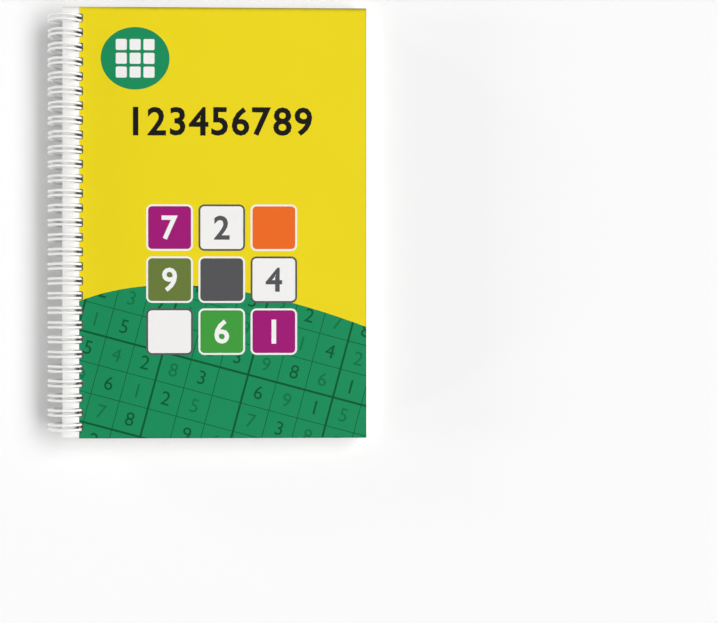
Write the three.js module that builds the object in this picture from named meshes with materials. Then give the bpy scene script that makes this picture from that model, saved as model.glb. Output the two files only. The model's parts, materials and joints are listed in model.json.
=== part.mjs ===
// A wire-bound number-puzzle book, lying closed on a table with its front cover up.
//
// One bent wire makes a row of twin loops along the spine. Two board covers and a stack of
// punched leaves hang on the loops and turn about the middle line of the loops, the ring axis.
// The first leaves are single sheets. The rest of the stack is a row of sections, each of
// several sheets that lie together.
//
// Millimetres, +Z up. The spine runs along Y on the -X side, and the fore-edge faces +X.

import * as THREE from 'three';

// Driving dimensions of the covers and leaves
const coverWidth = 176;
const coverHeight = 250;
const coverThickness = 0.8;
const leafForeInset = 0.3;
const leafEndInset = 0.25;
const sheetThickness = 0.12;
const sheetGap = 0.03;
const singleLeafCount = 8;
const sectionCount = 10;
const sheetsPerSection = 8;

// Driving dimensions of the binding
const loopPitch = 25.4 / 3;
const loopEndMargin = 6;
const wireDiameter = 1.5;
const loopHeadroom = 5.1;
const strandSpacing = 2.8;
const ringAxisInset = 1.2;
const linkCorner = 1.1;
const strandSteps = 8;
const turnSteps = 4;
const wireSides = 5;

// Clearances
const holeSideClearance = 0.4;
const coverHoleFarClearance = 0.9;
const leafHoleFarClearance = 0.3;
const holeNearClearance = 0.6;
const seamGap = 1.6;
const turnedCoverClearance = 0.2;
const turnedLeafClearance = 0.5;

// Colours and roughness from the photograph
const frontBoard = { color: 0xead821, roughness: 0.45, metalness: 0 };
const backBoard = { color: 0xf2f0ee, roughness: 0.5, metalness: 0 };
const paper = { color: 0xfcfcfa, roughness: 0.85, metalness: 0 };
const coatedWire = { color: 0xf4f4f4, roughness: 0.35, metalness: 0 };

// Levels above and below the ring axis. The axis lies a little above the middle of the stack,
// so that the spine corner of the front cover, turned right over, passes just above the back
// cover: hypot(ringAxisInset, frontCoverTop) + turnedCoverClearance = -backCoverTop.
const sectionThickness = sheetsPerSection * sheetThickness;
const leafStack = sheetGap + singleLeafCount * (sheetThickness + sheetGap)
  + sectionCount * (sectionThickness + sheetGap);
const turningRoom = leafStack - turnedCoverClearance;
const frontCoverBase = (turningRoom ** 2 - ringAxisInset ** 2 - coverThickness ** 2)
  / (2 * (turningRoom + coverThickness));
const frontCoverTop = frontCoverBase + coverThickness;
const backCoverTop = frontCoverBase - leafStack;
const backCoverBase = backCoverTop - coverThickness;

// Radii of the loops about the ring axis. They stand clear above the closed book.
const wireRadius = wireDiameter / 2;
const loopOuterRadius = frontCoverTop + loopHeadroom;
const loopRadius = loopOuterRadius - wireRadius;

// Angles of a strand about the ring axis, from +X towards +Z. It starts beside the link at the
// foot of the loop, and ends at the narrow bend that stops short of the link again.
const footAngle = -Math.PI / 2;
const bendRadius = strandSpacing / 2;
const bendReach = bendRadius / loopRadius;
const strandStart = footAngle + linkCorner / loopRadius;
const strandEnd = footAngle + 2 * Math.PI - (seamGap + wireDiameter) / loopRadius - bendReach;
const strandStep = (strandEnd - strandStart) / strandSteps;

// Edges, measured from the ring axis. A leaf stops short of the axis by enough to miss the
// spine edge of a cover that has been turned right over.
const coverSpine = -ringAxisInset;
const coverFore = coverSpine + coverWidth;
const leafSpine = ringAxisInset + turnedLeafClearance;
const leafFore = coverFore - leafForeInset;
const leafHeight = coverHeight - 2 * leafEndInset;

// Holes. The wire crosses a plate further out the nearer the plate is to the ring axis, so the
// front cover and the middle leaves set the far ends. The lowest leaf sets the near ends, apart
// from those of the back cover, which lies lower still.
const holeHeight = strandSpacing + wireDiameter + 2 * holeSideClearance;
const strandInnerRadius = loopRadius * Math.cos(strandStep / 2) - wireRadius;
const coverHoleFar = Math.sqrt(loopOuterRadius ** 2 - frontCoverBase ** 2) + coverHoleFarClearance;
const leafHoleFar = loopOuterRadius + leafHoleFarClearance;
const leafHoleNear = Math.sqrt(strandInnerRadius ** 2 - backCoverTop ** 2) - holeNearClearance;
const backHoleNear = Math.sqrt(strandInnerRadius ** 2 - backCoverBase ** 2) - holeNearClearance;

// The book leans on the bottoms of its loops and on the lower fore-edge of its back cover.
const foreEdgeReach = Math.hypot(coverFore, backCoverBase);
const restTilt = Math.asin(loopOuterRadius / foreEdgeReach) - Math.atan2(-backCoverBase, coverFore);

// As many loops as the pitch allows between the margins at the head and the tail of the book
const loopCount = Math.floor((coverHeight - 2 * loopEndMargin) / loopPitch) + 1;

function loopPlace(index) {
  return (index - (loopCount - 1) / 2) * loopPitch;
}

// A rectangle with one corner at (x0, y0) and the opposite one at (x1, y1).
function traceRectangle(path, x0, y0, x1, y1) {
  path.moveTo(x0, y0);
  path.lineTo(x1, y0);
  path.lineTo(x1, y1);
  path.lineTo(x0, y1);
  path.closePath();
  return path;
}

// A flat plate with one hole for each loop, standing on the level base.
function punchedPlate(spine, fore, height, holeNear, holeFar, thickness, base) {
  const outline = traceRectangle(new THREE.Shape(), spine, -height / 2, fore, height / 2);
  for (let i = 0; i < loopCount; i += 1) {
    const middle = loopPlace(i);
    const hole = new THREE.Path();
    outline.holes.push(
      traceRectangle(hole, holeNear, middle - holeHeight / 2, holeFar, middle + holeHeight / 2),
    );
  }
  const plate = new THREE.ExtrudeGeometry(outline, { depth: thickness, bevelEnabled: false });
  plate.translate(0, 0, base);
  return plate;
}

// A point on the loops' middle circle, by its angle from +X towards +Z, in radians.
function onLoop(angle, y) {
  return new THREE.Vector3(loopRadius * Math.cos(angle), y, loopRadius * Math.sin(angle));
}

// The middle line of the wire. From a link at the foot of the loop a strand goes up through the
// holes, over the top and down the spine side, turns round in a narrow bend at the seam, comes
// back beside itself, and goes on through a short link to the next loop.
function wireRoute() {
  const route = [];
  for (let i = 0; i < loopCount; i += 1) {
    const first = loopPlace(i) - bendRadius;
    const second = loopPlace(i) + bendRadius;
    if (i > 0) route.push(onLoop(footAngle, first - linkCorner));
    for (let s = 0; s <= strandSteps; s += 1) {
      route.push(onLoop(strandStart + s * strandStep, first));
    }
    for (let s = 1; s < turnSteps; s += 1) {
      const bend = Math.PI * s / turnSteps;
      const place = loopPlace(i) - bendRadius * Math.cos(bend);
      route.push(onLoop(strandEnd + bendReach * Math.sin(bend), place));
    }
    for (let s = strandSteps; s >= 0; s -= 1) {
      route.push(onLoop(strandStart + s * strandStep, second));
    }
    if (i < loopCount - 1) route.push(onLoop(footAngle, second + linkCorner));
  }
  return route;
}

// A closed round tube along a route, with its section carried on from point to point.
function tubeAlong(route, radius, sides) {
  const positions = [];
  const triangles = [];
  const across = new THREE.Vector3(0, 1, 0);
  const tangent = new THREE.Vector3();
  const side = new THREE.Vector3();
  const turn = new THREE.Quaternion();
  let lastTangent = null;
  route.forEach((point, index) => {
    const before = route[Math.max(index - 1, 0)];
    const after = route[Math.min(index + 1, route.length - 1)];
    const into = point.clone().sub(before).normalize();
    const out = after.clone().sub(point).normalize();
    tangent.copy(into).add(out).normalize();
    if (lastTangent) across.applyQuaternion(turn.setFromUnitVectors(lastTangent, tangent));
    across.addScaledVector(tangent, -across.dot(tangent)).normalize();
    side.crossVectors(tangent, across);
    for (let k = 0; k < sides; k += 1) {
      const angle = 2 * Math.PI * k / sides;
      const corner = point.clone();
      corner.addScaledVector(across, radius * Math.cos(angle));
      corner.addScaledVector(side, radius * Math.sin(angle));
      positions.push(corner.x, corner.y, corner.z);
    }
    lastTangent = tangent.clone();
  });
  for (let ring = 0; ring < route.length - 1; ring += 1) {
    for (let k = 0; k < sides; k += 1) {
      const a = ring * sides + k;
      const b = ring * sides + (k + 1) % sides;
      triangles.push(a, b, a + sides, b, b + sides, a + sides);
    }
  }
  const lastRing = (route.length - 1) * sides;
  for (let k = 1; k < sides - 1; k += 1) {
    triangles.push(0, k + 1, k, lastRing, lastRing + k, lastRing + k + 1);
  }
  const tube = new THREE.BufferGeometry();
  tube.setAttribute('position', new THREE.Float32BufferAttribute(positions, 3));
  tube.setIndex(triangles);
  tube.computeVertexNormals();
  return tube;
}

// The least distance between stretches of the wire that aren't next to each other, measured on
// points along its middle line, less one wire diameter.
function leastSelfGap(route) {
  const spacing = wireDiameter / 2;
  const apart = Math.PI * strandSpacing;
  const points = [];
  let travelled = 0;
  for (let i = 0; i < route.length - 1; i += 1) {
    const length = route[i].distanceTo(route[i + 1]);
    const count = Math.ceil(length / spacing);
    for (let s = 0; s < count; s += 1) {
      const place = route[i].clone().lerp(route[i + 1], s / count);
      points.push({ place, along: travelled + length * s / count });
    }
    travelled += length;
  }
  const perLoop = Math.ceil(2 * points.length / loopCount);
  let least = Infinity;
  points.forEach((point, i) => {
    for (let j = i + 1; j < Math.min(i + perLoop, points.length); j += 1) {
      if (points[j].along - point.along < apart) continue;
      least = Math.min(least, point.place.distanceTo(points[j].place));
    }
  });
  return least - wireDiameter;
}

function addPiece(group, name, geometry, finish) {
  const piece = new THREE.Mesh(geometry, new THREE.MeshStandardMaterial(finish));
  piece.name = name;
  group.add(piece);
}

function addCovers(group) {
  const cover = (holeNear, base) => punchedPlate(
    coverSpine, coverFore, coverHeight, holeNear, coverHoleFar, coverThickness, base,
  );
  addPiece(group, 'front_cover', cover(leafHoleNear, frontCoverBase), frontBoard);
  addPiece(group, 'back_cover', cover(backHoleNear, backCoverBase), backBoard);
}

// Single leaves from the top down, then the sections, each one gap below the one before.
function addLeaves(group) {
  const leaf = (thickness, base) => punchedPlate(
    leafSpine, leafFore, leafHeight, leafHoleNear, leafHoleFar, thickness, base,
  );
  const numbered = (word, index) => `${word}_${String(index + 1).padStart(2, '0')}`;
  let level = frontCoverBase;
  for (let i = 0; i < singleLeafCount; i += 1) {
    level -= sheetGap + sheetThickness;
    addPiece(group, numbered('leaf', i), leaf(sheetThickness, level), paper);
  }
  for (let i = 0; i < sectionCount; i += 1) {
    level -= sheetGap + sectionThickness;
    addPiece(group, numbered('section', i), leaf(sectionThickness, level), paper);
  }
}

function addWire(group) {
  const route = wireRoute();
  console.log(`least gap of the wire to itself: ${leastSelfGap(route).toFixed(2)} mm`);
  addPiece(group, 'wire_binding', tubeAlong(route, wireRadius, wireSides), coatedWire);
}

// The book is built about its ring axis, tilted to its rest, and set down with the middle of
// its footprint at the origin.
function puzzleBook() {
  const book = new THREE.Group();
  addWire(book);
  addCovers(book);
  addLeaves(book);
  book.rotation.y = restTilt;
  book.updateMatrixWorld(true);
  const box = new THREE.Box3().setFromObject(book, true);
  const middle = box.getCenter(new THREE.Vector3());
  book.position.set(-middle.x, -middle.y, -box.min.z);
  return book;
}

const part = new THREE.Group();
part.add(puzzleBook());

export default part;
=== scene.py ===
# A wire-bound number-puzzle book, lying closed on a table with its front cover up.
#
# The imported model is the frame, and every piece of it is replaced here by a fuller one in the
# same place: printed covers, printed leaves sheet by sheet, and a smooth round wire. Sizes are
# in metres. Inside the script a place in the book is given as (out, along, up): out from the
# ring axis towards the fore-edge, along the spine towards the head, and up through the stack.

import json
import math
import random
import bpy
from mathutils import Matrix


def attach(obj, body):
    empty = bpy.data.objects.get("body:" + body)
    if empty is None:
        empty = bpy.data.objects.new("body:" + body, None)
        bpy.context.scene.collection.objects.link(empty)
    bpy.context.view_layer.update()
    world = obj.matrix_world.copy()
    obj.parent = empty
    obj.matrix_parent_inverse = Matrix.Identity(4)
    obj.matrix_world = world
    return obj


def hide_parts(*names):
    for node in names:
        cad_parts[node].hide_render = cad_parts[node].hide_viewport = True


bl_info = {
    "name": "Wire-bound puzzle book",
    "version": (1, 0, 0),
    "blender": (4, 5, 0),
    "location": "3D View > Sidebar > Puzzle book",
    "description": "Dresses the packed puzzle book with printed covers, leaves, wire and a stage",
    "category": "Object",
}

from collections import Counter, namedtuple

import bpy
import numpy as np
from mathutils import Vector
from mathutils.geometry import delaunay_2d_cdt

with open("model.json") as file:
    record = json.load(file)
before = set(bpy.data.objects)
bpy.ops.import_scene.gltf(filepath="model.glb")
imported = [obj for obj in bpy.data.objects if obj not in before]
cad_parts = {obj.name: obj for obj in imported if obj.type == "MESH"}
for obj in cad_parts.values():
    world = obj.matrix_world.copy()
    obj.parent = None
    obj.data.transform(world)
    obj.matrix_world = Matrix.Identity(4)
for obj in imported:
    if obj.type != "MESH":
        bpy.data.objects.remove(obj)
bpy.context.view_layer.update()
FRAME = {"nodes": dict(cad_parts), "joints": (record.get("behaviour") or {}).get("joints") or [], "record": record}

MM = 0.001
FRAME_WIDTH = 718

# The ring axis is the axis of every joint, and the lean comes from the face on the table.
RING_AXIS = Vector(FRAME["joints"][0]["pos_m"])
TABLE_AXIS = Vector(FRAME["record"]["mounts"][0]["axis"])
LEAN = math.atan2(-TABLE_AXIS.x, -TABLE_AXIS.z)
LEAVES = sorted(name for name in FRAME["nodes"] if name.startswith("leaf_"))
SECTIONS = sorted(name for name in FRAME["nodes"] if name.startswith("section_"))

# The inner corners of a star, as a share of its radius, and the turn from one corner to the next.
STAR_WAIST = 0.55
STAR_TURN = math.radians(36)

# A noise keeps mostly between these values.
NOISE_LOW = 0.3
NOISE_HIGH = 0.7

# A flat print: its shapes, its colour, the side of the sheet that it is on, and the number of the
# print, if any, that it shows only inside of. A shape is a list of segments that go round it and
# round each hole in it.
Print = namedtuple("Print", "shapes colour side within", defaults=("front", None))

# A row of like lamps: its name, its turn and rise as the book sees it, and the spread of a lamp and
# the light on the table from the whole row.
Row = namedtuple("Row", "name turn rise spread level")


# Properties


def linear(red, green, blue):
    """The scene-linear colour of an 8-bit screen colour."""
    shares = [value / 255 for value in (red, green, blue)]
    return tuple(s / 12.92 if s <= 0.04045 else ((s + 0.055) / 1.055) ** 2.4 for s in shares)


def colour(name, text, red, green, blue):
    """A property for a colour, given as an 8-bit screen colour."""
    return bpy.props.FloatVectorProperty(
        name=name, description=text, size=3, min=0, max=1, subtype="COLOR",
        default=linear(red, green, blue),
    )


def amount(name, text, value, **options):
    """A property for a plain number."""
    return bpy.props.FloatProperty(name=name, description=text, default=value, **options)


def length(name, text, millimetres):
    """A property for a length, given in millimetres and kept in metres."""
    return amount(name, text, millimetres * MM, precision=5, unit="LENGTH")


def angle(name, text, degrees):
    """A property for an angle, given in degrees and kept in radians."""
    return amount(name, text, math.radians(degrees), subtype="ANGLE")


def share(name, text, value):
    """A property for a share of a whole."""
    return amount(name, text, value, min=0, max=1, subtype="FACTOR")


def count(name, text, value, least=0):
    """A property for a count or a seed."""
    return bpy.props.IntProperty(name=name, description=text, default=value, min=least)


class CoverSettings(bpy.types.PropertyGroup):
    """Print of the front cover and finish of both covers."""

    yellow: colour("Yellow", "Upper field of the front cover", 240, 218, 30)
    green: colour("Green", "Lower field and badge of the front cover", 26, 140, 90)
    grid_green: colour("Grid green", "Lines and every other figure on the lower field", 2, 84, 44)
    pale_green: colour("Pale green", "The figures between those on the lower field", 12, 112, 66)
    black: colour("Black", "Row of figures across the front cover", 5, 5, 4)
    white: colour("White", "Bare board at the spine, and white parts of badge and tiles", 246, 245, 243)
    inside: colour("Inside", "Inner faces of both covers", 238, 235, 233)
    back: colour("Back", "Outer face of the back cover", 240, 238, 235)
    core: colour("Core", "Cut edges of the board", 214, 209, 196)
    magenta: colour("Magenta", "First tile colour", 160, 26, 118)
    orange: colour("Orange", "Second tile colour", 240, 108, 36)
    olive: colour("Olive", "Third tile colour", 104, 122, 58)
    slate: colour("Slate", "Fourth tile colour, and border and figure of a white tile", 84, 84, 86)
    leaf_green: colour("Leaf green", "Fifth tile colour", 66, 156, 62)
    strip: length("Bare strip", "Unprinted width at the spine edge", 9.6)
    hole_round: length("Hole rounding", "Corner radius of the punched holes", 0.9)
    corner_round: length("Corner rounding", "Corner radius of the boards", 0.5)
    field_left: length("Field, spine side", "Top of the green field below the head, at the spine", 170.5)
    field_bend: length("Field, bend", "Bend of the green field's curved top, from the head", 146)
    field_across: length("Field across", "Bend of the green field's curved top, from the spine edge", 71)
    field_right: length("Field, fore-edge", "Top of the green field below the head, at the fore-edge", 185.5)
    badge_across: length("Badge across", "Middle of the badge from the spine edge", 41.9)
    badge_down: length("Badge down", "Middle of the badge from the head", 29.7)
    badge_width: length("Badge width", "Width of the oval badge", 39.8)
    badge_height: length("Badge height", "Height of the oval badge", 36.3)
    badge_square: length("Badge square", "Side of each small square on the badge", 6.4)
    badge_gap: length("Badge gap", "Gap between the small squares on the badge", 1.6)
    badge_round: length("Badge rounding", "Corner radius of the small squares on the badge", 0.8)
    row_across: length("Row start", "Left end of the row of figures from the spine edge", 36.1)
    row_width: length("Row width", "Width of the row of figures", 109.3)
    row_down: length("Row down", "Middle of the row of figures from the head", 66.1)
    row_height: length("Row height", "Height of the figures in the row", 16.6)
    tile: length("Tile", "Side of a number tile", 27)
    tile_gap: length("Tile gap", "Gap between number tiles", 3.2)
    tile_border: length("Tile border", "Border of a number tile", 1.1)
    tile_round: length("Tile rounding", "Corner radius of a number tile", 3.4)
    tile_across: length("Tiles across", "Middle of the tiles from the spine edge", 92)
    tile_down: length("Tiles down", "Middle of the tiles from the head", 158)
    tile_figure: length("Tile figure", "Height of the figure on a tile", 14)
    grid_across: length("Grid across", "Crossing of two bands of the grid, from the spine edge", 58)
    grid_down: length("Grid down", "Crossing of two bands of the grid, from the head", 200)
    grid_cell: length("Grid cell", "Side of a square cell on the green field", 17)
    grid_line: length("Grid line", "Thin lines on the green field", 0.4)
    grid_band: length("Grid band", "Every third line on the green field", 1.2)
    grid_turn: angle("Grid turn", "Turn of the grid on the green field, clockwise", 15)
    grid_figure: share("Grid figure", "Height of a figure on the green field, as a share of its cell", 0.47)
    grid_given: share("Grid given", "Share of the cells on the green field that carry a figure", 0.96)
    grid_seed: count("Grid seed", "Start of the figures on the green field", 4)
    bold: amount("Bold", "Thickening of the bold figures, in sizes of the type", 0.02, min=0)
    # Painted shade: the four widths below set a darker rim painted along the fore-edge, head and tail of the
    # boards. It stands in for the shade on a rounded board edge.
    painted_shade_fore: length("Worn fore-edge", "Width of the dulled rim along the fore-edge", 0.9)
    painted_shade_head: length("Worn head", "Width of the dulled rim along the head", 3.2)
    painted_shade_tail: length("Worn tail", "Width of the dulled rim along the tail", 1.4)
    painted_shade_from: length("Worn from", "Stretch past the bare strip over which the rim comes up", 35)


class PageSettings(bpy.types.PropertyGroup):
    """Print of the puzzle pages and make-up of the stack of leaves."""

    paper: colour("Paper", "Unprinted paper", 252, 252, 251)
    # Painted shade: the cut edges are the paper darkened, to hold back the light that the upright edges catch from
    # the lamps.
    shaded_cut_edge: colour("Cut edge", "Cut edges of the paper", 222, 220, 213)
    line_ink: colour("Line ink", "Lines, stars and underline", 20, 20, 20)
    figure_ink: colour("Figure ink", "Figures of the puzzle and the page number", 88, 88, 88)
    grid_across: length("Grid across", "Spine side of the puzzle grid from the edge of the cover", 35.6)
    grid_down: length("Grid down", "Top of the puzzle grid from the head of the page", 66.4)
    grid_side: length("Grid side", "Side of the square puzzle grid", 114.3)
    grid_line: length("Grid line", "Lines of the puzzle grid", 0.6)
    figure: length("Figure", "Height of the figures in the puzzle", 3.9)
    given: share("Given", "Share of the cells that carry a figure", 0.62)
    stars: count("Stars", "Outlined stars under the puzzle", 5)
    stars_down: length("Stars down", "Middle of the row of stars from the head", 209.3)
    stars_inset: length("Stars inset", "Middle of the last star from the fore side of the grid", 5.4825)
    star_radius: length("Star radius", "Outer radius of a star before its points are rounded", 6.45)
    star_pitch: length("Star pitch", "Distance between stars", 11.8)
    star_line: length("Star line", "Line round a star", 0.9)
    star_round: length("Star rounding", "How far the rounding of a point reaches along its edges", 1.1)
    underline: length("Underline", "Length of the line beside the stars", 14.2)
    underline_gap: length("Underline gap", "End of that line from the middle of the first star", 8.26)
    underline_drop: length("Underline drop", "That line below the middle of the stars", 4.515)
    number_across: length("Number across", "Page number from the spine side of the grid", 54.2925)
    number_down: length("Number down", "Page number from the head", 234.8)
    number: length("Number", "Height of the page number", 3.6)
    hole_round: length("Hole rounding", "Corner radius of the punched holes", 1.1)
    sheet: length("Sheet", "Thickness of one sheet in a section", 0.105)
    sheets: count("Sheets", "Sheets of paper in one section", 8, 3)
    drift: length("Drift", "How far the sheets of a section lie out of line", 0.1)
    seed: count("Seed", "Start of the row of puzzles and of the sheets' drift", 11)


class WireSettings(bpy.types.PropertyGroup):
    """Size and coat of the twin-loop wire."""

    coat: colour("Coat", "Coat of the wire", 242, 242, 242)
    diameter: length("Diameter", "Thickness of the wire", 1.5)
    spacing: length("Spacing", "Distance between the two strands of a loop", 2.8)
    seam: length("Seam", "Gap between the tip of a loop and the links", 1.6)
    link_corner: length("Link corner", "Bend between a strand and a link", 1.1)
    strand_steps: count("Strand steps", "Straight pieces along a strand", 40, 8)
    bend_steps: count("Bend steps", "Straight pieces round the tip of a loop", 10, 4)
    corner_steps: count("Corner steps", "Straight pieces round a bend into a link", 5, 2)
    sides: count("Sides", "Sides of the round wire", 12, 6)


class StageSettings(bpy.types.PropertyGroup):
    """Floor, light and camera."""

    floor: colour("Floor", "Floor under the book", 253, 253, 253)
    floor_side: length("Floor side", "Side of the square floor", 40000)
    lift: amount("Floor lift", "Light added to the floor as the camera sees it", 0.03)
    camera_height: length("Camera height", "Camera above the front cover", 640)
    camera_right: length("Camera right", "Camera to the right of the middle of the front cover", 83.7)
    camera_down: length("Camera down", "Camera below the middle of the front cover", 51.5)
    pixels: amount("Pixels", "Picture points to a metre on the front cover", 1721)
    key_level: amount("Key level", "Light on the table from the fore-edge side", 0.73, min=0)
    key_rise: angle("Key rise", "Lamps at the fore-edge side, above the table", 43)
    key_spread: angle("Key spread", "Width of a lamp at the fore-edge side, as the book sees it", 26)
    fill_level: amount("Fill level", "Light on the table from the spine side", 0.08, min=0)
    fill_rise: angle("Fill rise", "Lamps at the spine side, above the table", 6)
    fill_spread: angle("Fill spread", "Width of a lamp at the spine side, as the book sees it", 10)
    lamp_fan: angle("Lamp fan", "Turn from one lamp of a row to the next", 30)
    lamps: count("Lamps", "Lamps in each row", 3, 1)
    world: amount("Room light", "Even light from all round", 0.145, min=0)
    backdrop: amount("Backdrop", "Brightness of the room as the camera sees it", 0.97, min=0)


# Places in the book


def to_book(point):
    """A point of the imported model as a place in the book."""
    x = point.x - RING_AXIS.x
    z = point.z - RING_AXIS.z
    out = x * math.cos(LEAN) - z * math.sin(LEAN)
    up = x * math.sin(LEAN) + z * math.cos(LEAN)
    return out, point.y, up


def to_world(out, along, up):
    """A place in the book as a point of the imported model."""
    x = RING_AXIS.x + out * math.cos(LEAN) + up * math.sin(LEAN)
    z = RING_AXIS.z - out * math.sin(LEAN) + up * math.cos(LEAN)
    return Vector((x, along, z))


def levels(values, tolerance=1e-6):
    """The different values among some, in order."""
    found = []
    for value in sorted(values):
        if not found or value - found[-1] > tolerance:
            found.append(value)
    return found


class Plate:
    """Edges, holes and levels of a punched plate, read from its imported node."""

    def __init__(self, node):
        places = [to_book(vertex.co) for vertex in FRAME["nodes"][node].data.vertices]
        outs, alongs, ups = (levels(values) for values in zip(*places))
        self.spine, self.hole_near, self.hole_far, self.fore = outs
        self.tail, self.head = alongs[0], alongs[-1]
        self.holes = list(zip(alongs[1:-1:2], alongs[2:-1:2]))
        self.base, self.top = ups

    def outline(self, rounding):
        return closed(rounded_rectangle(self.spine, self.tail, self.fore, self.head, rounding))

    def hole_shapes(self, rounding):
        return [
            closed(rounded_rectangle(self.hole_near, low, self.hole_far, high, rounding))
            for low, high in self.holes
        ]

    def middle(self):
        return to_world(
            (self.spine + self.fore) / 2, (self.tail + self.head) / 2, (self.base + self.top) / 2
        )

    def halves(self):
        return (self.fore - self.spine) / 2, (self.head - self.tail) / 2


# Flat shapes


def rectangle(left, low, right, high):
    return [(left, low), (right, low), (right, high), (left, high)]


def rounded_rectangle(left, low, right, high, rounding, steps=3):
    """A rectangle whose corners are arcs of a few steps."""
    if rounding <= 0:
        return rectangle(left, low, right, high)
    corners = [
        (right - rounding, low + rounding, -90),
        (right - rounding, high - rounding, 0),
        (left + rounding, high - rounding, 90),
        (left + rounding, low + rounding, 180),
    ]
    shape = []
    for x, y, start in corners:
        for step in range(steps + 1):
            turn = math.radians(start + 90 * step / steps)
            shape.append((x + rounding * math.cos(turn), y + rounding * math.sin(turn)))
    return shape


def rounded_square(x, y, side, rounding, steps=3):
    """A square about a point, with rounded corners."""
    half = side / 2
    return rounded_rectangle(x - half, y - half, x + half, y + half, rounding, steps)


def by_threes(x, y, pitch):
    """The middles of nine squares about a point, row by row from the top."""
    return [(x + column * pitch, y - row * pitch) for row in (-1, 0, 1) for column in (-1, 0, 1)]


def oval(x, y, width, height, steps=72):
    turns = [2 * math.pi * step / steps for step in range(steps)]
    return [(x + width / 2 * math.cos(turn), y + height / 2 * math.sin(turn)) for turn in turns]


def curve(start, bend, end, steps):
    """Points on a curve from start to end that bends towards a point between them."""
    shares = [step / steps for step in range(steps + 1)]
    return [tuple((1 - t) ** 2 * start + 2 * t * (1 - t) * bend + t ** 2 * end) for t in shares]


def star(x, y, radius, rounding, steps=4):
    """A five-pointed star with one point up, and every corner rounded along a short curve."""
    corners = []
    for step in range(10):
        turn = math.pi / 2 + STAR_TURN * step
        reach = radius if step % 2 == 0 else radius * STAR_WAIST
        corners.append(Vector((x + reach * math.cos(turn), y + reach * math.sin(turn))))
    shape = []
    for before, corner, after in zip(corners[-1:] + corners, corners, corners[1:] + corners[:1]):
        start = corner + rounding * (before - corner).normalized()
        end = corner + rounding * (after - corner).normalized()
        shape += curve(start, corner, end, steps)
    return shape


def star_edge_share():
    """Distance of a star's edges from its middle, as a share of its radius."""
    tip = Vector((1, 0))
    dip = STAR_WAIST * Vector((math.cos(STAR_TURN), math.sin(STAR_TURN)))
    return abs(tip.x * dip.y - tip.y * dip.x) / (tip - dip).length


def closed(loop):
    """The segments of a closed row of points."""
    return list(zip(loop, loop[1:] + loop[:1]))


def digit_shapes(thickening):
    """The ten digits as flat shapes, one unit tall, each middled on the origin."""
    shapes = {}
    for digit in "0123456789":
        letter = bpy.data.curves.new("digit", "FONT")
        letter.body = digit
        letter.offset = thickening
        letter.resolution_u = 3
        letter.fill_mode = "FRONT"
        holder = bpy.data.objects.new("digit", letter)
        mesh = bpy.data.meshes.new_from_object(holder)
        points = np.array([vertex.co[:2] for vertex in mesh.vertices])
        low, high = points.min(0), points.max(0)
        points = (points - (low + high) / 2) / (high[1] - low[1])
        uses = Counter(key for face in mesh.polygons for key in face.edge_keys)
        shapes[digit] = [(points[a], points[b]) for (a, b), times in uses.items() if times == 1]
        bpy.data.objects.remove(holder)
        bpy.data.curves.remove(letter)
        bpy.data.meshes.remove(mesh)
    return shapes


def figure(digits, text, x, y, height, advance=0.68):
    """The shapes of a number written in digits, middled on a point."""
    written = []
    for index, digit in enumerate(text):
        middle = np.array((x + (index - (len(text) - 1) / 2) * advance * height, y))
        written.append([(middle + height * a, middle + height * b) for a, b in digits[digit]])
    return written


def turned_over(prints, middle):
    """The same prints on the back of a sheet, to be read from behind."""
    turned = []
    for item in prints:
        shapes = [
            [((2 * middle - a[0], a[1]), (2 * middle - b[0], b[1])) for a, b in shape]
            for shape in item.shapes
        ]
        turned.append(Print(shapes, item.colour, "back"))
    return turned


def puzzle(seed, given):
    """Nine rows of nine cells, each with its digit or None, from one filled grid shuffled."""
    chance = random.Random(seed)
    digits = chance.sample("123456789", 9)

    def shuffled():
        """The numbers of nine lines, shuffled by bands of three and inside each band."""
        return [
            3 * band + line
            for band in chance.sample(range(3), 3)
            for line in chance.sample(range(3), 3)
        ]

    rows = shuffled()
    columns = shuffled()
    grid = []
    for row in rows:
        cells = [digits[(3 * (row % 3) + row // 3 + column) % 9] for column in columns]
        grid.append([cell if chance.random() < given else None for cell in cells])
    return grid


# Meshes


def cut_sheet(outline, holes, prints, tolerance=1e-4):
    """Divide a punched sheet into triangles along the edges of its prints.

    Returns the flat points, the triangles and the middles of the triangles. The cut and its
    tolerance are in millimetres.
    """
    segments = [segment for shape in [outline] + holes for segment in shape]
    segments += [segment for item in prints for shape in item.shapes for segment in shape]
    points = [Vector(point) / MM for segment in segments for point in segment]
    edges = [(2 * number, 2 * number + 1) for number in range(len(segments))]
    places, _, faces, _, _, _ = delaunay_2d_cdt(points, edges, [], 0, tolerance, False)
    places = np.array(places) * MM
    triangles = np.array(faces)
    middles = places[triangles].mean(1)
    kept = inside(middles, outline)
    for hole in holes:
        kept &= ~inside(middles, hole)
    used, corners = np.unique(triangles[kept], return_inverse=True)
    return places[used], corners.reshape(-1, 3), middles[kept]


def inside(points, shape):
    """Which points lie inside a shape: those with an odd number of segments to their right."""
    ends = np.array(shape).reshape(-1, 2)
    near = np.all((points > ends.min(0)) & (points < ends.max(0)), axis=1)
    xs, ys = points[near].T
    odd = np.zeros(len(xs), bool)
    for (x0, y0), (x1, y1) in shape:
        if y0 != y1:
            crossing = x0 + (ys - y0) * (x1 - x0) / (y1 - y0)
            odd ^= ((y0 > ys) != (y1 > ys)) & (xs < crossing)
    found = np.zeros(len(points), bool)
    found[near] = odd
    return found


def print_inks(prints, middles, front, back):
    """The colour of each triangle on the front and on the back, later prints over earlier ones."""
    inks = {
        side: np.tile(tuple(bare), (len(middles), 1)) for side, bare in (("front", front), ("back", back))
    }
    masks = []
    for item in prints:
        mask = np.zeros(len(middles), bool)
        for shape in item.shapes:
            mask |= inside(middles, shape)
        if item.within is not None:
            mask &= masks[item.within]
        masks.append(mask)
        inks[item.side][mask] = tuple(item.colour)
    return inks["front"], inks["back"]


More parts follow.
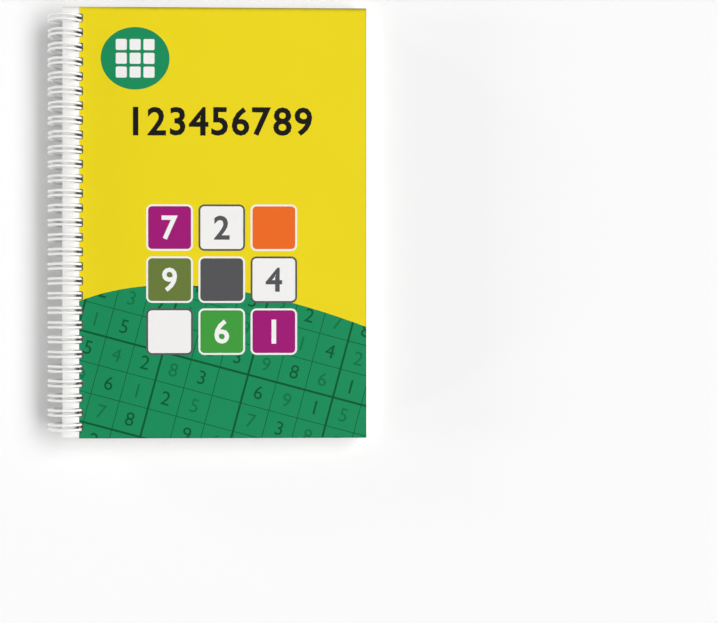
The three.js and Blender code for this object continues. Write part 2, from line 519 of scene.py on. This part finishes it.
def sheet_mesh(name, outline, holes, base, top, prints, front, back, edge):
    """A closed punched sheet, with the colour of its print kept as the attribute ink."""
    flat, triangles, middles = cut_sheet(outline, holes, prints)
    front_inks, back_inks = print_inks(prints, middles, front, back)
    below = len(flat)
    places = [to_world(x, y, level) for level in (top, base) for x, y in flat]
    uppers = [tuple(corners) for corners in triangles.tolist()]
    lowers = [(c + below, b + below, a + below) for a, b, c in uppers]
    sides = {side: True for a, b, c in uppers for side in ((a, b), (b, c), (c, a))}
    walls = [(b, a, a + below, b + below) for a, b in sides if (b, a) not in sides]
    mesh = bpy.data.meshes.new(name)
    mesh.from_pydata(places, [], uppers + lowers + walls)
    edge_inks = np.tile(tuple(edge), (4 * len(walls), 1))
    inks = np.concatenate([np.repeat(front_inks, 3, 0), np.repeat(back_inks, 3, 0), edge_inks])
    layer = mesh.color_attributes.new("ink", "FLOAT_COLOR", "CORNER")
    layer.data.foreach_set("color", np.column_stack([inks, np.ones(len(inks))]).ravel())
    return mesh


def board_mesh(name, plate, cover, prints, front, back):
    """A punched cover board."""
    return sheet_mesh(
        name, plate.outline(cover.corner_round), plate.hole_shapes(cover.hole_round),
        plate.base, plate.top, prints, front, back, cover.core,
    )


def page_mesh(name, plate, page, base, top, prints):
    """A punched sheet of paper between two levels."""
    return sheet_mesh(
        name, plate.outline(0), plate.hole_shapes(page.hole_round),
        base, top, prints, page.paper, page.paper, page.shaded_cut_edge,
    )


def new_object(name, mesh, material=None):
    """A scene object at the origin, with the mesh's place in its points."""
    if material is not None:
        mesh.materials.append(material)
    made = bpy.data.objects.new(name, mesh)
    bpy.context.scene.collection.objects.link(made)
    return made


def join(parts):
    """Several mesh objects as one, kept under the first one's name."""
    first = parts[0]
    with bpy.context.temp_override(
        active_object=first, object=first, selected_objects=parts, selected_editable_objects=parts
    ):
        bpy.ops.object.join()
    return first


def settle(piece, node, body):
    """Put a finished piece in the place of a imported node."""
    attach(piece, body)
    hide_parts(node)


# Node trees


def new_tree(kind, name, inputs, outputs):
    """A node tree with named sockets of given kinds, its sources by name, and its result."""
    tree = bpy.data.node_groups.new(name, kind)
    for way, sockets in (("INPUT", inputs), ("OUTPUT", outputs)):
        for label, socket in sockets.items():
            tree.interface.new_socket(label, in_out=way, socket_type="NodeSocket" + socket)
    return tree, tree.nodes.new("NodeGroupInput").outputs, tree.nodes.new("NodeGroupOutput")


def feed(tree, node, inputs):
    """Set the inputs of a node: to a value, or by a link from a socket."""
    for label, value in inputs.items():
        if isinstance(value, bpy.types.NodeSocket):
            tree.links.new(value, node.inputs[label])
        else:
            node.inputs[label].default_value = value


def add(tree, kind, inputs=None, **settings):
    """A new node of a tree, with its settings and inputs."""
    made = tree.nodes.new(kind)
    for label, value in settings.items():
        setattr(made, label, value)
    feed(tree, made, inputs or {})
    return made


def calculate(tree, operation, first, second):
    """The result of a sum on two values, each a number or a socket."""
    return add(tree, "ShaderNodeMath", {0: first, 1: second}, operation=operation).outputs[0]


# Geometry node trees


def finish_geometry(tree, geometry, material, result):
    """End a tree in Realize Instances and Set Material."""
    realized = add(tree, "GeometryNodeRealizeInstances", {"Geometry": geometry})
    painted = add(tree, "GeometryNodeSetMaterial", {"Geometry": realized.outputs[0], "Material": material})
    feed(tree, result, {"Geometry": painted.outputs[0]})


def wire_tree():
    """A round wire swept along a row of edges."""
    tree, source, result = new_tree(
        "GeometryNodeTree", "wire_along_route",
        {"Geometry": "Geometry", "Diameter": "Float", "Sides": "Int", "Coat": "Material"},
        {"Geometry": "Geometry"},
    )
    route = add(tree, "GeometryNodeMeshToCurve", {"Mesh": source["Geometry"]})
    section = add(tree, "GeometryNodeCurvePrimitiveCircle", {
        "Resolution": source["Sides"],
        "Radius": calculate(tree, "MULTIPLY", source["Diameter"], 0.5),
    })
    sweep = add(tree, "GeometryNodeCurveToMesh", {
        "Curve": route.outputs["Curve"],
        "Profile Curve": section.outputs["Curve"],
        "Fill Caps": True,
    })
    smooth = add(tree, "GeometryNodeSetShadeSmooth", {0: sweep.outputs["Mesh"]})
    finish_geometry(tree, smooth.outputs[0], source["Coat"], result)
    return tree


def stack_tree():
    """One sheet repeated up a stack, each a little out of line with the others."""
    tree, source, result = new_tree(
        "GeometryNodeTree", "stack_of_sheets",
        {"Geometry": "Geometry", "Count": "Int", "Pitch": "Vector", "Drift": "Vector", "Seed": "Int",
         "Paper": "Material"},
        {"Geometry": "Geometry"},
    )
    column = add(
        tree, "GeometryNodeMeshLine", {"Count": source["Count"], "Offset": source["Pitch"]},
        mode="OFFSET", count_mode="TOTAL",
    )
    stack = add(tree, "GeometryNodeInstanceOnPoints", {
        "Points": column.outputs["Mesh"], "Instance": source["Geometry"],
    })
    back = add(tree, "ShaderNodeVectorMath", {0: source["Drift"], "Scale": -1}, operation="SCALE")
    chance = add(
        tree, "FunctionNodeRandomValue",
        {0: back.outputs["Vector"], 1: source["Drift"], "Seed": source["Seed"]}, data_type="FLOAT_VECTOR",
    )
    shift = add(tree, "GeometryNodeTranslateInstances", {
        "Instances": stack.outputs["Instances"], "Translation": chance.outputs[0],
    })
    finish_geometry(tree, shift.outputs["Instances"], source["Paper"], result)
    return tree


def run_tree(holder, tree, values):
    """Run a tree on an object, and leave its result as the object's plain mesh."""
    modifier = holder.modifiers.new(tree.name, "NODES")
    modifier.node_group = tree
    for item in tree.interface.items_tree:
        if item.in_out == "INPUT" and item.name in values:
            modifier[item.identifier] = values[item.name]
    graph = bpy.context.evaluated_depsgraph_get()
    shaped = bpy.data.meshes.new_from_object(
        holder.evaluated_get(graph), preserve_all_data_layers=True, depsgraph=graph
    )
    plain = holder.data
    holder.modifiers.clear()
    holder.data = shaped
    shaped.name = holder.name
    bpy.data.meshes.remove(plain)
    return holder


# Shader groups


def ranged(tree, value, low, high, start=0, end=1):
    """A value brought from between start and end to between low and high."""
    return add(tree, "ShaderNodeMapRange", {
        "Value": value, "From Min": start, "From Max": end, "To Min": low, "To Max": high,
    }).outputs["Result"]


def noise(tree, vector, scale, detail, roughness=0.5):
    """The value of a noise."""
    return add(tree, "ShaderNodeTexNoise", {
        "Vector": vector, "Scale": scale, "Detail": detail, "Roughness": roughness,
    }).outputs["Fac"]


def fibre_group():
    """Fine fibres and slow clouds, for paper, board and coat."""
    group, source, result = new_tree(
        "ShaderNodeTree", "fibre",
        {"Vector": "Vector", "Fibre scale": "Float", "Cloud scale": "Float", "Tint depth": "Float"},
        {"Tint": "Float", "Height": "Float", "Cloud": "Float"},
    )
    fibre = noise(group, source["Vector"], source["Fibre scale"], detail=4, roughness=0.6)
    cloud = noise(group, source["Vector"], source["Cloud scale"], detail=3)
    centred = calculate(group, "SUBTRACT", calculate(group, "ADD", fibre, cloud), 1)
    depth = calculate(group, "MULTIPLY", centred, source["Tint depth"])
    feed(group, result, {"Tint": calculate(group, "ADD", depth, 1), "Height": fibre, "Cloud": cloud})
    return group


def shade_rim_group():
    """Painted shade of a rounded edge along the fore-edge, head and tail of a flat piece, uneven.

    It is strongest on the very edge, dies away over the width given for that edge, and comes up
    from the spine over the stretch between two places across the piece.
    """
    labels = [
        "Half width", "Half height", "Fore width", "Head width", "Tail width", "Rise start", "Rise end",
    ]
    group, source, result = new_tree(
        "ShaderNodeTree", "edge_wear",
        {"Vector": "Vector", **{label: "Float" for label in labels}},
        {"Mask": "Float"},
    )
    place = add(group, "ShaderNodeSeparateXYZ", {0: source["Vector"]}).outputs
    shares = []
    for operation, half, across, width in (
        ("SUBTRACT", "Half width", "X", "Fore width"),
        ("SUBTRACT", "Half height", "Y", "Head width"),
        ("ADD", "Half height", "Y", "Tail width"),
    ):
        gap = calculate(group, operation, source[half], place[across])
        shares.append(calculate(group, "DIVIDE", gap, source[width]))
    fore, head, tail = shares
    nearest = calculate(group, "MINIMUM", calculate(group, "MINIMUM", fore, head), tail)
    uneven = ranged(group, noise(group, source["Vector"], scale=220, detail=4), 0.7, 1.3)
    left = ranged(group, calculate(group, "DIVIDE", nearest, uneven), 1, 0)
    faded = calculate(group, "POWER", left, 3)
    rise = ranged(group, place["X"], 0.45, 1, source["Rise start"], source["Rise end"])
    feed(group, result, {"Mask": calculate(group, "MULTIPLY", faded, rise)})
    return group


def place_group(tree, name, maker, inputs):
    """The outputs of a shader group, which is built the first time that it is placed."""
    group = bpy.data.node_groups.get(name) or maker()
    return add(tree, "ShaderNodeGroup", inputs, node_tree=group).outputs


# Materials


def new_material(name):
    """A material, its node tree and its Principled shader."""
    made = bpy.data.materials.new(name)
    made.use_nodes = True
    return made, made.node_tree, made.node_tree.nodes["Principled BSDF"]


def book_coordinates(tree, middle, scale=(1, 1, 1)):
    """Object coordinates turned level with the leaning book and middled on a point."""
    place = add(tree, "ShaderNodeTexCoord").outputs["Object"]
    return add(
        tree, "ShaderNodeMapping",
        {"Vector": place, "Location": middle, "Rotation": (0, LEAN, 0), "Scale": scale},
        vector_type="TEXTURE",
    ).outputs["Vector"]


def fibres(tree, vector, scale, clouds, depth):
    """The tint, height and clouds of the fibre group, by the scales of both and the tint's depth."""
    return place_group(tree, "fibre", fibre_group, {
        "Vector": vector, "Fibre scale": scale, "Cloud scale": clouds, "Tint depth": depth,
    })


def printed_ink(tree):
    """The colour that a sheet carries as the attribute ink."""
    return add(tree, "ShaderNodeAttribute", attribute_name="ink").outputs["Color"]


def multiplied(tree, first, second):
    """Two colours, or a colour and a value, multiplied."""
    mixed = add(tree, "ShaderNodeMix", data_type="RGBA", blend_type="MULTIPLY")
    # A Mix node has several sockets of one name, so those for colours go by number.
    feed(tree, mixed, {"Factor": 1, 6: first, 7: second})
    return mixed.outputs[2]


def between(tree, value, low, high):
    """A noise brought from its usual spread to between two values."""
    return ranged(tree, value, low, high, NOISE_LOW, NOISE_HIGH)


def bumped(tree, height, strength, distance):
    """A normal that follows a height."""
    bump = add(tree, "ShaderNodeBump", {"Strength": strength, "Distance": distance, "Height": height})
    return bump.outputs["Normal"]


def seen(tree):
    """One for rays that show a thing itself, straight, mirrored or through glass."""
    path = add(tree, "ShaderNodeLightPath").outputs
    straight = calculate(tree, "MAXIMUM", path["Is Camera Ray"], path["Is Glossy Ray"])
    return calculate(tree, "MAXIMUM", straight, path["Is Transmission Ray"])


def board_material(name, plate, cover, worn, gloss, fibre_scale, bump):
    """Printed board: ink, slow unevenness of the print, painted shade along the edges and a fine grain."""
    made, tree, shader = new_material(name)
    vector = book_coordinates(tree, plate.middle())
    half_width, half_height = plate.halves()
    fibre = fibres(tree, vector, fibre_scale, clouds=28, depth=0.035)
    edge = place_group(tree, "edge_wear", shade_rim_group, {
        "Vector": vector,
        "Half width": half_width,
        "Half height": half_height,
        "Fore width": cover.painted_shade_fore,
        "Head width": cover.painted_shade_head,
        "Tail width": cover.painted_shade_tail,
        "Rise start": cover.strip - half_width,
        "Rise end": cover.strip + cover.painted_shade_from - half_width,
    })
    tinted = multiplied(tree, printed_ink(tree), fibre["Tint"])
    feed(tree, shader, {
        # Painted shade: the base colour darkens along the edges, down to the given share of itself at the very
        # edge.
        "Base Color": multiplied(tree, tinted, ranged(tree, edge["Mask"], 1, worn)),
        "Roughness": between(tree, fibre["Cloud"], *gloss),
        "Specular IOR Level": 0.12,
        "Normal": bumped(tree, fibre["Height"], strength=bump, distance=0.05 * MM),
    })
    return made


def paper_material():
    """Uncoated paper: ink, fibres, and the fine streaks that the cut sheets make at the edges."""
    name = "uncoated_paper"
    if name in bpy.data.materials:
        return bpy.data.materials[name]
    made, tree, shader = new_material(name)
    streak_size = (50 * MM, 50 * MM, 0.22 * MM)
    fibre = fibres(tree, book_coordinates(tree, RING_AXIS), 1800, clouds=60, depth=0.025)
    streaks = noise(tree, book_coordinates(tree, RING_AXIS, streak_size), scale=1, detail=2)
    tinted = multiplied(tree, printed_ink(tree), fibre["Tint"])
    feed(tree, shader, {
        "Base Color": multiplied(tree, tinted, between(tree, streaks, 0.965, 1)),
        "Roughness": between(tree, fibre["Height"], 0.78, 0.92),
        "Specular IOR Level": 0.2,
        "Normal": bumped(tree, fibre["Height"], strength=0.12, distance=0.04 * MM),
    })
    return made


def coat_material(coat):
    """White coat on wire: satin, with the slight orange peel of a dipped coat."""
    made, tree, shader = new_material("coated_wire")
    fibre = fibres(tree, book_coordinates(tree, RING_AXIS), 900, clouds=120, depth=0.05)
    feed(tree, shader, {
        "Base Color": multiplied(tree, (*coat, 1), fibre["Tint"]),
        "Roughness": between(tree, fibre["Cloud"], 0.34, 0.46),
        "Specular IOR Level": 0.2,
        "Normal": bumped(tree, fibre["Height"], strength=0.06, distance=0.05 * MM),
    })
    return made


# Prints of the front cover


def field_prints(cover, plate, figures):
    """The green field with its turned number grid, under the other prints."""
    left = plate.spine + cover.strip
    start = Vector((plate.fore, plate.head - cover.field_right))
    bend = Vector((plate.spine + cover.field_across, plate.head - cover.field_bend))
    end = Vector((left, plate.head - cover.field_left))
    corners = [(left, plate.tail), (plate.fore, plate.tail)] + curve(start, bend, end, steps=32)
    field = closed(corners)

    # The grid is drawn in cells, along the rows and up the columns from a crossing of two bands.
    crossing = np.array((plate.spine + cover.grid_across, plate.head - cover.grid_down))
    across = cover.grid_cell * math.cos(cover.grid_turn)
    fall = cover.grid_cell * math.sin(cover.grid_turn)
    cell = np.array(((across, -fall), (fall, across)))
    reached = (np.array(corners) - crossing) @ np.linalg.inv(cell)
    first = np.floor(reached.min(0)).astype(int)
    last = np.ceil(reached.max(0)).astype(int)

    def lay(shape):
        """A shape drawn in cells, laid on the cover."""
        return [tuple(tuple(crossing + np.array(point) @ cell) for point in segment) for segment in shape]

    lines = []
    for way in (0, 1):
        for number in range(first[way] + 1, last[way]):
            half = (cover.grid_line if number % 3 else cover.grid_band) / 2 / cover.grid_cell
            low = first.astype(float)
            high = last.astype(float)
            low[way] = number - half
            high[way] = number + half
            lines.append(lay(closed(rectangle(*low, *high))))
    written = ([], [])
    digits = puzzle(cover.grid_seed, cover.grid_given)
    for row in range(first[1], last[1]):
        for column in range(first[0], last[0]):
            digit = digits[row % 9][column % 9]
            if digit:
                drawn = figure(figures, digit, column + 0.5, row + 0.5, cover.grid_figure)
                laid = [lay(shape) for shape in drawn]
                if inside(np.array(laid[0])[:, 0], field).any():
                    written[(row + column) % 2].extend(laid)
    return [
        Print([field], cover.green),
        Print(lines, cover.grid_green, "front", 0),
        Print(written[0], cover.grid_green, "front", 0),
        Print(written[1], cover.pale_green, "front", 0),
    ]


def badge_prints(cover, plate):
    """The oval badge with a small three by three grid."""
    x = plate.spine + cover.badge_across
    y = plate.head - cover.badge_down
    middles = by_threes(x, y, cover.badge_square + cover.badge_gap)
    squares = [closed(rounded_square(*middle, cover.badge_square, cover.badge_round)) for middle in middles]
    return [
        Print([closed(oval(x, y, cover.badge_width, cover.badge_height))], cover.green),
        Print(squares, cover.white),
    ]


def row_prints(cover, plate, figures):
    """The bold row of figures."""
    digits = "123456789"
    pitch = cover.row_width / len(digits)
    y = plate.head - cover.row_down
    written = []
    for number, digit in enumerate(digits):
        x = plate.spine + cover.row_across + (number + 0.5) * pitch
        written += figure(figures, digit, x, y, cover.row_height)
    return [Print(written, cover.black)]


def tile_prints(cover, plate, figures):
    """Nine number tiles in a square, some of them left for the solver to fill."""
    paints = [
        cover.magenta, cover.white, cover.orange,
        cover.olive, cover.slate, cover.white,
        cover.white, cover.leaf_green, cover.magenta,
    ]
    digits = "72 9 4 61"
    inner_side = cover.tile - 2 * cover.tile_border
    inner_round = cover.tile_round - cover.tile_border
    middles = by_threes(
        plate.spine + cover.tile_across, plate.head - cover.tile_down, cover.tile + cover.tile_gap
    )
    prints = []
    for middle, paint, digit in zip(middles, paints, digits):
        ink = cover.slate if paint == cover.white else cover.white
        prints.append(Print([closed(rounded_square(*middle, cover.tile, cover.tile_round, 6))], ink))
        prints.append(Print([closed(rounded_square(*middle, inner_side, inner_round, 6))], paint))
        if digit != " ":
            prints.append(Print(figure(figures, digit, *middle, cover.tile_figure), ink))
    return prints


# Prints of the pages


def page_prints(page, plate, edge, number, figures):
    """One puzzle page: its grid, given figures, stars, underline and page number."""
    left = edge + page.grid_across
    right = left + page.grid_side
    high = plate.head - page.grid_down
    low = high - page.grid_side
    half = page.grid_line / 2
    lines = []
    for step in range(4):
        x = left + step * page.grid_side / 3
        y = low + step * page.grid_side / 3
        lines.append(closed(rectangle(x - half, low - half, x + half, high + half)))
        lines.append(closed(rectangle(left - half, y - half, right + half, y + half)))
    written = []
    cell = page.grid_side / 9
    for row, cells in enumerate(puzzle(page.seed + number, page.given)):
        for column, digit in enumerate(cells):
            if digit:
                x = left + (column + 0.5) * cell
                y = high - (row + 0.5) * cell
                written += figure(figures, digit, x, y, page.figure)
    number_middle = (left + page.number_across, plate.head - page.number_down)
    written += figure(figures, f"{number:02d}", *number_middle, page.number)
    y = plate.head - page.stars_down
    middles = [(right - page.stars_inset - step * page.star_pitch, y) for step in range(page.stars)]
    inset = 1 - page.star_line / (page.star_radius * star_edge_share())
    outer, inner = (
        [closed(star(*middle, page.star_radius * size, page.star_round * size)) for middle in middles]
        for size in (1, inset)
    )
    x = right - page.stars_inset - (page.stars - 1) * page.star_pitch - page.underline_gap
    y -= page.underline_drop
    lines.append(closed(rectangle(x - page.underline, y - half, x, y + half)))
    return [
        Print(lines, page.line_ink),
        Print(written, page.figure_ink),
        Print(outer, page.line_ink),
        Print(inner, page.paper),
    ]


def both_pages(page, plate, edge, first, figures, front=True, back=True):
    """The prints of a leaf that carries page number first and the next one on its back."""
    prints = page_prints(page, plate, edge, first, figures) if front else []
    if back:
        middle = edge + page.grid_across + page.grid_side / 2
        prints += turned_over(page_prints(page, plate, edge, first + 1, figures), middle)
    return prints


# Operators


class BuildStage(bpy.types.Operator):
    """Lay the floor, light it and set the camera straight above"""

    bl_idname = "puzzle_book.stage"
    bl_label = "Stage"

    def execute(self, context):
        stage = context.scene.puzzle_stage
        self.lay_floor(stage)
        self.light(context, stage)
        self.aim(context, stage)
        context.scene.view_settings.view_transform = "Standard"
        return {"FINISHED"}

    def lay_floor(self, stage):
        made, tree, shader = new_material("studio_floor")
        half = stage.floor_side / 2
        mesh = bpy.data.meshes.new("floor")
        mesh.from_pydata([(x, y, 0) for x, y in rectangle(-half, -half, half, half)], [], [(0, 1, 2, 3)])
        feed(tree, shader, {
            "Base Color": (*stage.floor, 1),
            "Roughness": 0.9,
            "Specular IOR Level": 0.1,
            "Emission Color": (1, 1, 1, 1),
            "Emission Strength": calculate(tree, "MULTIPLY", seen(tree), stage.lift),
        })
        new_object("floor", mesh, made)

    def light(self, context, stage):
        world = bpy.data.worlds.new("studio")
        world.use_nodes = True
        tree = world.node_tree
        level = add(tree, "ShaderNodeMix", {"Factor": seen(tree), "A": stage.world, "B": stage.backdrop})
        feed(tree, tree.nodes["Background"], {"Color": (1, 1, 1, 1), "Strength": level.outputs["Result"]})
        context.scene.world = world
        key = Row("key", 0, stage.key_rise, stage.key_spread, stage.key_level)
        fill = Row("fill", math.pi, stage.fill_rise, stage.fill_spread, stage.fill_level)
        self.hang_lamps(context, stage, key)
        for lamp in self.hang_lamps(context, stage, fill):
            lamp.visible_glossy = False

    def hang_lamps(self, context, stage, row):
        """A row of far soft lamps, turned about the book from the fore-edge, raised above the table."""
        hung = []
        for number in range(stage.lamps):
            turn = row.turn + (number - (stage.lamps - 1) / 2) * stage.lamp_fan
            level_reach = math.cos(row.rise)
            away = Vector((level_reach * math.cos(turn), level_reach * math.sin(turn), math.sin(row.rise)))
            lamp = bpy.data.lights.new(row.name, "SUN")
            lamp.angle = row.spread
            lamp.energy = row.level * math.pi / (stage.lamps * math.sin(row.rise))
            made = bpy.data.objects.new(row.name, lamp)
            made.location = away
            made.rotation_euler = away.to_track_quat("Z", "Y").to_euler()
            context.scene.collection.objects.link(made)
            hung.append(made)
        return hung

    def aim(self, context, stage):
        cover = Plate("front_cover").middle()
        lens = bpy.data.cameras.new("camera")
        lens.sensor_width = 36
        lens.lens = stage.camera_height * stage.pixels * lens.sensor_width / FRAME_WIDTH
        camera = bpy.data.objects.new("camera", lens)
        camera.location = cover + Vector((stage.camera_right, -stage.camera_down, stage.camera_height))
        context.scene.collection.objects.link(camera)
        context.scene.camera = camera


class BuildFrontCover(bpy.types.Operator):
    """Print, punch and place the front cover"""

    bl_idname = "puzzle_book.front_cover"
    bl_label = "Front cover"

    def execute(self, context):
        cover = context.scene.puzzle_cover
        plate = Plate("front_cover")
        bold = digit_shapes(cover.bold)
        strip = rectangle(plate.spine, plate.tail, plate.spine + cover.strip, plate.head)
        prints = [
            *field_prints(cover, plate, digit_shapes(0)),
            *badge_prints(cover, plate),
            *row_prints(cover, plate, bold),
            *tile_prints(cover, plate, bold),
            Print([closed(strip)], cover.white),
        ]
        mesh = board_mesh("front_cover_board", plate, cover, prints, cover.yellow, cover.inside)
        # Painted shade: the laminated board's colour falls to 0.2 of itself at its edges.
        finish = board_material(
            "laminated_print", plate, cover, worn=0.2, gloss=(0.5, 0.62), fibre_scale=1500, bump=0.03
        )
        settle(new_object("front_cover_board", mesh, finish), "front_cover", "front_cover")
        return {"FINISHED"}


class BuildBackCover(bpy.types.Operator):
    """Punch and place the plain back cover"""

    bl_idname = "puzzle_book.back_cover"
    bl_label = "Back cover"

    def execute(self, context):
        cover = context.scene.puzzle_cover
        plate = Plate("back_cover")
        mesh = board_mesh("back_cover_board", plate, cover, [], cover.inside, cover.back)
        # Painted shade: the plain board's colour falls to 0.86 of itself at its edges.
        finish = board_material(
            "plain_board", plate, cover, worn=0.86, gloss=(0.48, 0.6), fibre_scale=1100, bump=0.08
        )
        settle(new_object("back_cover_board", mesh, finish), "back_cover", "binding")
        return {"FINISHED"}


class BuildLeaves(bpy.types.Operator):
    """Print, punch and place the single leaves"""

    bl_idname = "puzzle_book.leaves"
    bl_label = "Leaves"

    def execute(self, context):
        page = context.scene.puzzle_page
        edge = Plate("front_cover").spine
        figures = digit_shapes(0)
        for index, node in enumerate(LEAVES):
            plate = Plate(node)
            prints = both_pages(page, plate, edge, 2 * index + 1, figures)
            mesh = page_mesh(node + "_sheet", plate, page, plate.base, plate.top, prints)
            settle(new_object(node + "_sheet", mesh, paper_material()), node, node)
        return {"FINISHED"}


class BuildSections(bpy.types.Operator):
    """Stack the sheets of each section, with a printed page above and below"""

    bl_idname = "puzzle_book.sections"
    bl_label = "Sections"

    def execute(self, context):
        page = context.scene.puzzle_page
        figures = digit_shapes(0)
        tree = stack_tree()
        for index, node in enumerate(SECTIONS):
            settle(self.stack(page, node, index, figures, tree), node, node)
        return {"FINISHED"}

    def stack(self, page, node, index, figures, tree):
        """One section: its plain inner sheets and the two sheets whose pages can be seen."""
        plate = Plate(node)
        edge = Plate("front_cover").spine
        finish = paper_material()
        first = 2 * (len(LEAVES) + index * page.sheets) + 1
        last = first + 2 * page.sheets - 2
        pitch = (plate.top - plate.base - page.sheet) / (page.sheets - 1)

        def sheet(name, base, prints):
            return page_mesh(node + name, plate, page, base, base + page.sheet, prints)

        inner = new_object(node + "_sheets", sheet("_sheets", plate.base + pitch, []))
        run_tree(inner, tree, {
            "Count": page.sheets - 2,
            "Pitch": to_world(0, 0, pitch) - RING_AXIS,
            "Drift": (page.drift, page.drift, 0),
            "Seed": page.seed + index,
            "Paper": finish,
        })
        top = both_pages(page, plate, edge, first, figures, back=False)
        bottom = both_pages(page, plate, edge, last, figures, front=False)
        upper = sheet("_top", plate.top - page.sheet, top)
        lower = sheet("_bottom", plate.base, bottom)
        return join([inner] + [new_object(mesh.name, mesh, finish) for mesh in (upper, lower)])


class BuildWire(bpy.types.Operator):
    """Bend the twin-loop wire through the holes"""

    bl_idname = "puzzle_book.wire"
    bl_label = "Wire"

    def execute(self, context):
        wire = context.scene.puzzle_wire
        route = self.route(wire)
        mesh = bpy.data.meshes.new("wire_loops")
        mesh.from_pydata(route, [(i, i + 1) for i in range(len(route) - 1)], [])
        piece = run_tree(new_object("wire_loops", mesh), wire_tree(), {
            "Diameter": wire.diameter,
            "Sides": wire.sides,
            "Coat": coat_material(wire.coat),
        })
        settle(piece, "wire_binding", "binding")
        return {"FINISHED"}

    def route(self, wire):
        """The wire's middle line: up through the holes, over, down to the tip, back, and on."""
        loops = [(low + high) / 2 for low, high in Plate("back_cover").holes]
        radius = RING_AXIS.z - wire.diameter / 2
        half = wire.spacing / 2
        foot = -math.pi / 2
        start = foot + wire.link_corner / radius
        tip_reach = half / radius
        end = foot + 2 * math.pi - (wire.seam + wire.diameter) / radius - tip_reach
        strand = [start + (end - start) * s / wire.strand_steps for s in range(wire.strand_steps + 1)]
        bend = [math.pi * s / wire.bend_steps for s in range(1, wire.bend_steps)]
        places = []
        for number, middle in enumerate(loops):
            up = [(turn, middle - half) for turn in strand]
            if number > 0:
                up = self.corner(wire, radius, foot, middle - half, -1)[::-1] + up
            tip = [(end + tip_reach * math.sin(t), middle - half * math.cos(t)) for t in bend]
            down = [(turn, middle + half) for turn in reversed(strand)]
            if number < len(loops) - 1:
                down += self.corner(wire, radius, foot, middle + half, 1)
            places += up + tip + down
        return [
            to_world(radius * math.cos(turn), along, radius * math.sin(turn)) for turn, along in places
        ]

    def corner(self, wire, radius, foot, along, way):
        """The rounded corner from a strand into the link, by turn about the axis and place along."""
        bend = wire.link_corner
        turns = [math.pi / 2 * s / wire.corner_steps for s in range(1, wire.corner_steps + 1)]
        return [
            (foot + bend * (1 - math.sin(t)) / radius, along + way * bend * (1 - math.cos(t)))
            for t in turns
        ]


class PuzzleBookPanel(bpy.types.Panel):
    """Sizes, colours and operators of the puzzle book"""

    bl_idname = "VIEW3D_PT_puzzle_book"
    bl_label = "Puzzle book"
    bl_space_type = "VIEW_3D"
    bl_region_type = "UI"
    bl_category = "Puzzle book"

    def draw(self, context):
        for operator in OPERATORS:
            self.layout.operator(operator.bl_idname)
        for name, group in SETTINGS:
            box = self.layout.box()
            for label in group.__annotations__:
                box.prop(getattr(context.scene, name), label)


SETTINGS = [
    ("puzzle_stage", StageSettings),
    ("puzzle_cover", CoverSettings),
    ("puzzle_page", PageSettings),
    ("puzzle_wire", WireSettings),
]
OPERATORS = [BuildStage, BuildWire, BuildBackCover, BuildSections, BuildLeaves, BuildFrontCover]


def register():
    for name, group in SETTINGS:
        bpy.utils.register_class(group)
        setattr(bpy.types.Scene, name, bpy.props.PointerProperty(type=group))
    for made in OPERATORS + [PuzzleBookPanel]:
        bpy.utils.register_class(made)


def unregister():
    for made in [PuzzleBookPanel] + OPERATORS[::-1]:
        bpy.utils.unregister_class(made)
    for name, group in SETTINGS[::-1]:
        delattr(bpy.types.Scene, name)
        bpy.utils.unregister_class(group)


def main():
    register()
    bpy.ops.puzzle_book.stage()
    bpy.ops.puzzle_book.wire()
    bpy.ops.puzzle_book.back_cover()
    bpy.ops.puzzle_book.sections()
    bpy.ops.puzzle_book.leaves()
    bpy.ops.puzzle_book.front_cover()


if __name__ == "__main__":
    main()
